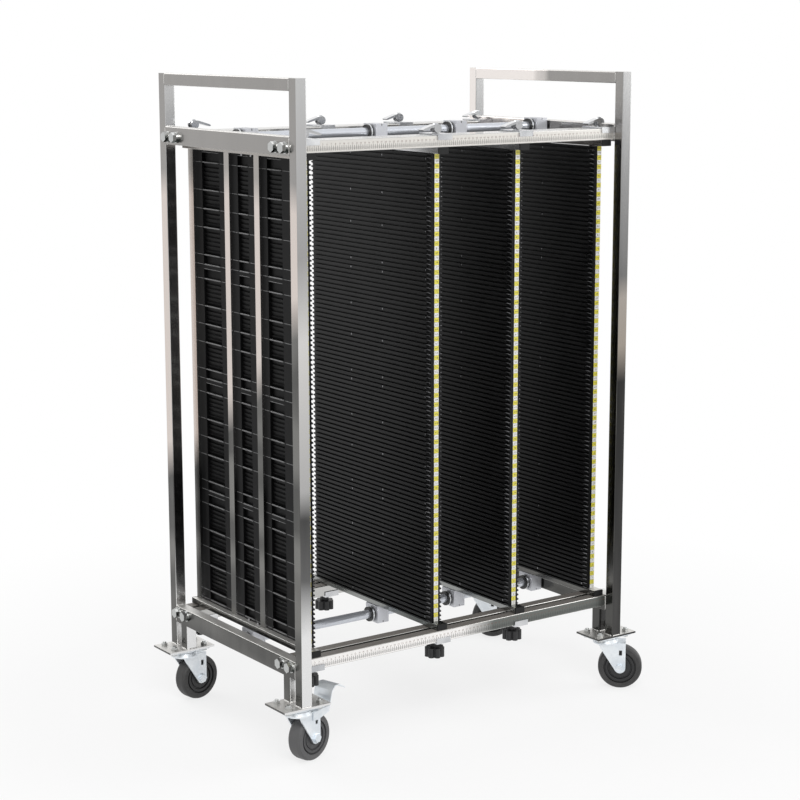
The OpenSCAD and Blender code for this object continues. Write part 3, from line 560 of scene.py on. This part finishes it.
# %% [markdown]
# ## The strip of slot numbers
# A printed strip runs up the front edge of every panel, one cell for each slot, white and yellow in turn.
# The cells repeat exactly, so the finish draws them from the height alone: the height above the strip's
# lower end, divided by the pitch, gives the cell, and what is left over gives its border.

# %% Cell finish
SLOT_PITCH = 0.010
BORDER_FROM_MIDDLE = 0.455
strip_low, strip_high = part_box("panel_a_label")
cell_count = round((strip_high.z - strip_low.z) / SLOT_PITCH)


def printed_cells():
    """Paper cells in turn white and yellow, each with a thin dark border above and below."""
    cells = Finish("label_cells")
    height = (cells.along("Z") - strip_low.z) / SLOT_PITCH
    yellow = (height % 2.0) > 1.0
    border = abs((height % 1.0) - 0.5) > BORDER_FROM_MIDDLE
    wear = cells.noise(60.0, 5.0)
    paper = cells.mix(yellow, (0.74, 0.74, 0.71), (0.72, 0.645, 0.05))
    paper = cells.mix(0.16 * wear, paper, (0.50, 0.47, 0.38))
    return cells.surface(
        Base_Color=cells.mix(0.62 * border, paper, (0.13, 0.12, 0.10)),
        Roughness=0.34 + 0.14 * wear,
        Coat_Weight=0.25,
    )


label_cells = printed_cells()
print("strip cells", cell_count, "from", round(strip_low.z, 4), "to", round(strip_high.z, 4))

# %% [markdown]
# ## The rulers
# A thin steel rule is fixed along the front of the upper and the lower rail, so that the panels can be set
# to the width of a circuit board. It is satin steel; its marks come later as thin inlaid pieces. The lower
# rule is painted pale at its left, as painted light, and painted dark at its right, a painted reflection like
# the dark foot of the frame.

# %% Ruler finish and inks
DARK_FROM, DARK_TO = 0.04, 0.15


def ruler_satin():
    """Satin steel, whose lower rule has painted light at the left and a painted dark reflection at the right."""
    satin = Finish("ruler_satin")
    grain = satin.noise(700.0, 3.0, (0.03, 1.0, 1.0))
    drift = satin.noise(5.0, 3.0)
    tone = satin.mix(drift, (0.56, 0.54, 0.51), (0.76, 0.74, 0.70))
    lower_rule = satin.along("Z") < HALF_UP
    # Painted light at the left of the lower rule, painted dark reflection at its right.
    painted_dark_right = satin.fade(satin.along("X") + 0.10 * drift, DARK_FROM, DARK_TO)
    painted_low_rule_tone = satin.mix(painted_dark_right, (0.92, 0.90, 0.88), (0.15, 0.16, 0.15))
    tone = satin.mix(lower_rule, tone, painted_low_rule_tone)
    return satin.surface(
        Base_Color=tone,
        Metallic=0.75,
        Roughness=0.30 + 0.12 * grain,
        Normal=satin.bump(grain, 0.05, 0.0001),
    )


def ink(name, colour):
    """Printing ink that is worn a little thin in places."""
    print_ink = Finish(name)
    worn = print_ink.noise(500.0, 4.0)
    tone = print_ink.mix(0.35 * worn * worn, colour, (0.30, 0.29, 0.27))
    return print_ink.surface(Base_Color=tone, Roughness=0.45 + 0.15 * worn)


ruler_steel = ruler_satin()
black_ink = ink("black_ink", (0.012, 0.012, 0.014))
brown_ink = ink("brown_ink", (0.12, 0.045, 0.032))
print("ruler finish and two inks written")

# %% [markdown]
# ## Dressing the CAD nodes
# The record names a material slot for each node. Most slots take one finish; the end frames, the outer
# panels, the bearings and the wheels need a finish of their own, which depends on where the piece is. No
# shape is changed; each node only gets its finish.

# %% Give every node its finish
finish_of_slot = {
    "frame_steel": rail_steel,
    "shaft_chrome": shaft_chrome,
    "bolt_steel": bolt_bright,
    "ruler_steel": ruler_steel,
    "caster_zinc": caster_zinc,
    "panel_steel": panel_steel,
    "cap_black": cap_black,
    "board_black": board_black,
    "screw_steel": screw_bright,
    "label_strip": label_cells,
    "clamp_steel": clamp_steel,
    "cam_chrome": cam_chrome,
    "knob_black": knob_black,
}
own_finish = {
    "end_frame_left": frame_left_steel,
    "end_frame_right": frame_right_steel,
    "panel_a_frame": outer_panel_steel,
    "panel_d_frame": outer_panel_steel,
    "panel_a_boards": outer_board_black,
}
PANELS = "abcd"
CORNERS = ("near_left", "near_right", "far_left", "far_right")
PAINTED_LIT_TREAD, PAINTED_SHADED_TREAD = 0.085, 0.022
for panel in PANELS:
    low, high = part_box(f"panel_{panel}_caps")
    middle = 0.5 * (low.x + high.x)
    own_finish[f"panel_{panel}_bearings"] = bearing_block(f"bearing_block_{panel}", middle)
for corner in CORNERS:
    # One rubber painted in two greys: the front left wheel lit, the others in painted shade.
    tread_grey = PAINTED_LIT_TREAD if corner == "near_left" else PAINTED_SHADED_TREAD
    own_finish[f"wheel_{corner}"] = wheel_rubber(f"wheel_{corner}_spin", tread_grey)

for name, node in nodes.items():
    finish = own_finish.get(name) or finish_of_slot[slot_of[name]]
    if not node.material_slots:
        node.data.materials.append(finish)
    for material_slot in node.material_slots:
        material_slot.material = finish
print("dressed", len(nodes), "nodes with", len(bpy.data.materials), "materials in the file")

# %% [markdown]
# ## Thin marks as real pieces
# A printed number could be a picture, but a picture blurs when someone looks closely. Here each digit is a
# thin solid made from Blender's own font, kept once per character and copied to its place, so a whole strip
# of numbers becomes one mesh that rides on its panel.

# %% Helpers that build one mesh from many small ones
INK_T = 0.00004
DIGIT_GAP = 0.16


def new_piece(name, vertices, faces, finish, body, smooth=False):
    """One mesh object, flat or smooth, that rides on a body."""
    mesh = bpy.data.meshes.new(name)
    mesh.from_pydata(vertices, [], faces)
    mesh.materials.append(finish)
    mesh.validate()
    for polygon in mesh.polygons:
        polygon.use_smooth = smooth
    piece = bpy.data.objects.new(name, mesh)
    bpy.context.scene.collection.objects.link(piece)
    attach(piece, body)


def digit_solid(character):
    """Vertices, faces and width of one digit, 1 unit tall, in its own plane."""
    curve = bpy.data.curves.new("digit", "FONT")
    curve.body = character
    curve.resolution_u = 2
    curve.extrude = 0.5
    holder = bpy.data.objects.new("digit", curve)
    bpy.context.scene.collection.objects.link(holder)
    mesh = bpy.data.meshes.new_from_object(holder)
    tall = max(vertex.co.y for vertex in mesh.vertices)
    vertices = [(vertex.co.x / tall, vertex.co.y / tall, vertex.co.z) for vertex in mesh.vertices]
    faces = [tuple(polygon.vertices) for polygon in mesh.polygons]
    bpy.data.objects.remove(holder)
    bpy.data.curves.remove(curve)
    bpy.data.meshes.remove(mesh)
    return vertices, faces, max(vertex[0] for vertex in vertices)


digits = {character: digit_solid(character) for character in "0123456789"}
print("digits", {key: len(value[0]) for key, value in digits.items()})


# %% Printing a number on a surface that faces the front
def add_number(vertices, faces, number, middle, front, tall):
    """Adds a number's digits, centred on middle (x, z), standing proud of the plane y = front."""
    text = str(number)
    gap = DIGIT_GAP * tall
    widths = [digits[character][2] * tall for character in text]
    x = middle[0] - 0.5 * (sum(widths) + gap * (len(text) - 1))
    for character, width in zip(text, widths):
        points, polygons, _ = digits[character]
        start = len(vertices)
        vertices.extend(
            (x + px * tall, front + (pz - 0.5) * INK_T, middle[1] + (py - 0.5) * tall)
            for px, py, pz in points
        )
        faces.extend(tuple(start + index for index in polygon) for polygon in polygons)
        x += width + gap


def add_bar(vertices, faces, low, high):
    """Adds a small box between two corners."""
    start = len(vertices)
    for z in (low[2], high[2]):
        for x, y in ((low[0], low[1]), (high[0], low[1]), (high[0], high[1]), (low[0], high[1])):
            vertices.append((x, y, z))
    sides = ((0, 3, 2, 1), (4, 5, 6, 7), (0, 1, 5, 4), (1, 2, 6, 5), (2, 3, 7, 6), (3, 0, 4, 7))
    faces.extend(tuple(start + corner for corner in side) for side in sides)


DIGIT_TALL = 0.0046
for panel in PANELS:
    low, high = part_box(f"panel_{panel}_label")
    vertices, faces = [], []
    for cell in range(cell_count):
        middle = (0.5 * (low.x + high.x), low.z + (cell + 0.5) * SLOT_PITCH)
        add_number(vertices, faces, cell + 1, middle, low.y, DIGIT_TALL)
    new_piece(f"panel_{panel}_numbers", vertices, faces, black_ink, f"panel_{panel}")
print("numbers 1 to", cell_count, "on four strips")

# %% [markdown]
# ## Ruler marks
# A rule has a fine short tick every millimetre, a bold longer one every five and the longest every ten, with
# a number above it. The loop counts the millimetres once for each rule and picks the tick's size from that.

# %% Ruler marks
ruler_low, ruler_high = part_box("ruler_strips")
RULER_TALL = 0.022
FINE_TICK, BOLD_TICK = 0.00016, 0.00080
ONE_TALL, FIVE_TALL, TEN_TALL = 0.0060, 0.0090, 0.0098
TICK_FOOT = 0.0025
NUMBER_LEVEL, NUMBER_TALL = 0.0150, 0.0034
FIRST_TICK = 2
tick_vertices, tick_faces = [], []
number_vertices, number_faces = [], []
ruler_feet = (ruler_low.z, ruler_high.z - RULER_TALL)
ruler_length = round((ruler_high.x - ruler_low.x) / MM)
for foot in ruler_feet:
    for count in range(FIRST_TICK, ruler_length - FIRST_TICK + 1):
        x = ruler_low.x + count * MM
        tall = TEN_TALL if count % 10 == 0 else FIVE_TALL if count % 5 == 0 else ONE_TALL
        wide = BOLD_TICK if count % 5 == 0 else FINE_TICK
        corner = (x - 0.5 * wide, ruler_low.y - INK_T, foot + TICK_FOOT)
        far = (x + 0.5 * wide, ruler_low.y, foot + TICK_FOOT + tall)
        add_bar(tick_vertices, tick_faces, corner, far)
        if count % 10 == 0:
            place = (x, foot + NUMBER_LEVEL)
            add_number(number_vertices, number_faces, count // 10, place, ruler_low.y, NUMBER_TALL)
new_piece("ruler_ticks", tick_vertices, tick_faces, black_ink, "frame")
new_piece("ruler_numbers", number_vertices, number_faces, brown_ink, "frame")
print("ruler marks", len(tick_faces) // 6, "ticks on two rules of", ruler_length, "mm")

# %% [markdown]
# ## Weld beads and seams
# The end frames are welded from square tube. A fillet bead shows where a tube meets another at right angles.
# Where two tubes lie flush, the weld is ground off and polished, and only a thin bright seam is left.
# A bead is a row of overlapping ripples, so each one is swept as a ring of points whose radius rises and
# falls along the seam, closed at both ends, and half sunk into the corner that it fills.

# %% Bead builder
RIPPLE = 0.0021
RIPPLE_STEPS, SMOOTH_STEPS = 6, 16
RING_POINTS = 10
TIP_SHARE, TIP_RISE = 0.35, 8.0


def add_bead(vertices, faces, start, end, radius, swell=0.20):
    """Adds a bead from start to end, rippled by swell; with no swell it is smooth with tapered ends."""
    start, end = Vector(start), Vector(end)
    length = (end - start).length
    turn = (end - start).to_track_quat("Z", "Y").to_matrix()
    steps = max(RIPPLE_STEPS, int(length / RIPPLE * RIPPLE_STEPS)) if swell else SMOOTH_STEPS
    first = len(vertices)
    for step in range(steps + 1):
        part = step / steps
        ripple = 1.0 + swell * abs(math.sin(math.pi * part * length / RIPPLE))
        taper = min(1.0, TIP_SHARE + TIP_RISE * part, TIP_SHARE + TIP_RISE * (1.0 - part))
        for point in range(RING_POINTS):
            angle = 2.0 * math.pi * point / RING_POINTS
            ring = Vector((math.cos(angle), math.sin(angle), 0.0)) * radius * ripple * taper
            vertices.append(tuple(start + (end - start) * part + turn @ ring))
    for step in range(steps):
        for point in range(RING_POINTS):
            here = first + step * RING_POINTS + point
            beside = first + step * RING_POINTS + (point + 1) % RING_POINTS
            faces.append((here, beside, beside + RING_POINTS, here + RING_POINTS))
    faces.append(tuple(first + point for point in reversed(range(RING_POINTS))))
    last = first + steps * RING_POINTS
    faces.append(tuple(last + point for point in range(RING_POINTS)))


# %% Beads at the joints of the end frames
# Places in an end frame, in metres from the middle of the trolley and from the ground.
HANDLE_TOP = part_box("end_frame_right")[1].z
TUBE_EDGE = 0.0025
TUBE_IN, TUBE_OUT = 0.405, 0.430
UPRIGHT_IN, UPRIGHT_OUT = 0.2475, 0.2725
LEG_IN, LEG_OUT = 0.202, 0.227
RAIL_LEVELS = ((0.183, 0.221), (1.245, 1.283))
HANDLE_LOW = 1.370
FOOT_TOP = 0.130
BEAD_RADIUS, SEAM_RADIUS = 0.0016, 0.0008
bead_vertices, bead_faces = [], []
for side in (-1.0, 1.0):
    x_near, x_far = side * (TUBE_IN + TUBE_EDGE), side * (TUBE_OUT - TUBE_EDGE)
    for way in (-1.0, 1.0):
        seams = [(way * UPRIGHT_IN, level) for pair in RAIL_LEVELS for level in pair]
        seams.append((way * UPRIGHT_IN, HANDLE_LOW))
        seams += [(way * leg, RAIL_LEVELS[0][0]) for leg in (LEG_IN, LEG_OUT)]
        seams += [(way * post, FOOT_TOP) for post in (LEG_IN, LEG_OUT, UPRIGHT_IN, UPRIGHT_OUT)]
        for y, z in seams:
            add_bead(bead_vertices, bead_faces, (x_near, y, z), (x_far, y, z), BEAD_RADIUS)
        for level_low, level_high in (*RAIL_LEVELS, (HANDLE_LOW, HANDLE_TOP)):
            for x in (side * TUBE_IN, side * TUBE_OUT):
                seam_low = (x, way * UPRIGHT_IN, level_low + TUBE_EDGE)
                seam_high = (x, way * UPRIGHT_IN, level_high - TUBE_EDGE)
                add_bead(bead_vertices, bead_faces, seam_low, seam_high, SEAM_RADIUS, 0.0)
        for post_in, post_out in ((LEG_IN, LEG_OUT), (UPRIGHT_IN, UPRIGHT_OUT)):
            for x in (side * TUBE_IN, side * TUBE_OUT):
                bead_start = (x, way * (post_in + TUBE_EDGE), FOOT_TOP)
                bead_end = (x, way * (post_out - TUBE_EDGE), FOOT_TOP)
                add_bead(bead_vertices, bead_faces, bead_start, bead_end, BEAD_RADIUS)
weld_steel = bright_steel("weld_steel", (0.72, 0.71, 0.69), 0.22)
new_piece("frame_weld_beads", bead_vertices, bead_faces, weld_steel, "frame", True)
print("weld beads and seams", len(bead_faces), "faces")

# %% [markdown]
# ## Ribs on the backs of the outer boards
# The boards are stiffened by ribs that cross the louvred windows of their backs. A moulded rib is drawn out
# of its cavity with a rounded crest, and the crest catches the light. Only the two outer panels show their
# backs, so these get a smooth half-round bar along each rib, sunk to its middle, and a finer one elsewhere.
# The crests are a mid grey, far lighter than the boards' black, as a painted highlight.

# %% Rib crests
BOARD_TALL = 0.250
CREST_RADIUS, FINE_RADIUS = 0.0016, 0.0007
# Heights on one board, and places along it, in metres.
RIB_LEVELS = (0.005, 0.026, 0.085, 0.125, 0.165, 0.224)
TOP_RIM = 0.2455
WINDOWS = ((-0.131, -0.075), (-0.001, 0.041), (0.117, 0.189))
PLAIN_BANDS = (
    (-0.189, -0.133),
    (-0.073, -0.054),
    (-0.032, -0.003),
    (0.043, 0.066),
    (0.088, 0.115),
    (0.191, 0.217),
)
# Same plastic as the boards, coloured a lighter grey: a painted highlight on the crests.
painted_rib_highlight = moulded_black("painted_rib_highlight", (0.110, 0.110, 0.112), 0.30, 700.0, 0.10, 0.5)
for panel in "ad":
    low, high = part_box(f"panel_{panel}_boards")
    back = low.x if panel == "a" else high.x
    vertices, faces = [], []
    for board in range(round((high.z - low.z) / BOARD_TALL)):
        for level in RIB_LEVELS:
            z = low.z + board * BOARD_TALL + level
            for y_low, y_high in WINDOWS:
                add_bead(vertices, faces, (back, y_low, z), (back, y_high, z), CREST_RADIUS, 0.0)
            for y_low, y_high in PLAIN_BANDS:
                add_bead(vertices, faces, (back, y_low, z), (back, y_high, z), FINE_RADIUS, 0.0)
        z = low.z + board * BOARD_TALL + TOP_RIM
        for y_low, y_high in WINDOWS:
            add_bead(vertices, faces, (back, y_low, z), (back, y_high, z), FINE_RADIUS, 0.0)
    name = f"panel_{panel}_rib_crests"
    new_piece(name, vertices, faces, painted_rib_highlight, f"panel_{panel}", True)
    print("rib crests on panel", panel, len(faces), "faces")

# %% [markdown]
# ## Floor, surroundings and lamps
# The trolley stands on a plain white floor in a white room. The camera and the mirrors in the steel see
# white; other rays see a softer level, so the room does not flood the black boards. The floor keeps a soft
# shadow because only part of its white is its own.


# %% Surroundings
ROOM_LEVEL = 0.55
world = bpy.data.worlds.new("white_room")
world.use_nodes = True
bpy.context.scene.world = world
room = Graph(world.node_tree)
background = room.tree.nodes["Background"]
room.feed(background.inputs["Color"], (1.0, 1.0, 1.0))
room.feed(background.inputs["Strength"], room.fade(room.seen_directly(), 0.0, 1.0, ROOM_LEVEL, 1.0))
print("room level", ROOM_LEVEL)

# %% Floor
FLOOR_SIZE = 60.0
SHADOW_SHARE = 0.24
SHADOW_REACH = 1.6
floor_mesh = bpy.data.meshes.new("floor")
half = 0.5 * FLOOR_SIZE
floor_mesh.from_pydata(
    [(-half, -half, 0.0), (half, -half, 0.0), (half, half, 0.0), (-half, half, 0.0)], [], [(0, 1, 2, 3)]
)
floor = bpy.data.objects.new("floor", floor_mesh)
bpy.context.scene.collection.objects.link(floor)
floor_finish = Finish("floor_white")
floor_mesh.materials.append(floor_finish.material)
distance = floor_finish.add(
    "ShaderNodeVectorMath", {"operation": "LENGTH"}, {0: floor_finish.place}, "Value"
)
near = 1.0 - floor_finish.fade(distance, 0.5 * SHADOW_REACH, SHADOW_REACH)
grain = floor_finish.noise(30.0, 2.0)
floor_finish.surface(
    Base_Color=floor_finish.mix(grain, (0.84, 0.84, 0.84), (0.86, 0.86, 0.86)), Roughness=0.9
)
glow = floor_finish.add("ShaderNodeEmission", inputs={"Color": (1.0, 1.0, 1.0), "Strength": 1.0})
own_white = floor_finish.seen_directly() * (1.0 - SHADOW_SHARE * near)
matt = Signal(floor_finish, floor_finish.shader.outputs[0])
blend = floor_finish.add("ShaderNodeMixShader", inputs={0: own_white, 1: matt, 2: glow})
floor_finish.feed(floor_finish.tree.nodes["Material Output"].inputs["Surface"], blend)
print("floor", FLOOR_SIZE, "m")


# %% Lamps
def soft_lamp(name, place, target, size, power):
    """A square soft box that points at a place on the trolley."""
    lamp = bpy.data.lights.new(name, "AREA")
    lamp.shape = "SQUARE"
    lamp.size = size
    lamp.energy = power
    holder = bpy.data.objects.new(name, lamp)
    holder.location = place
    aim = Vector(target) - Vector(place)
    holder.rotation_euler = aim.to_track_quat("-Z", "Y").to_euler()
    bpy.context.scene.collection.objects.link(holder)


soft_lamp("key_lamp", (-1.6, -3.2, 3.4), (0.0, 0.0, 0.7), 2.2, 95.0)
soft_lamp("side_lamp", (3.4, -1.8, 2.2), (0.0, 0.0, 0.7), 2.4, 45.0)
soft_lamp("back_lamp", (-1.0, 3.0, 3.0), (0.0, 0.0, 0.8), 2.4, 40.0)
bpy.context.scene.view_settings.view_transform = "Standard"
print("three soft lamps")
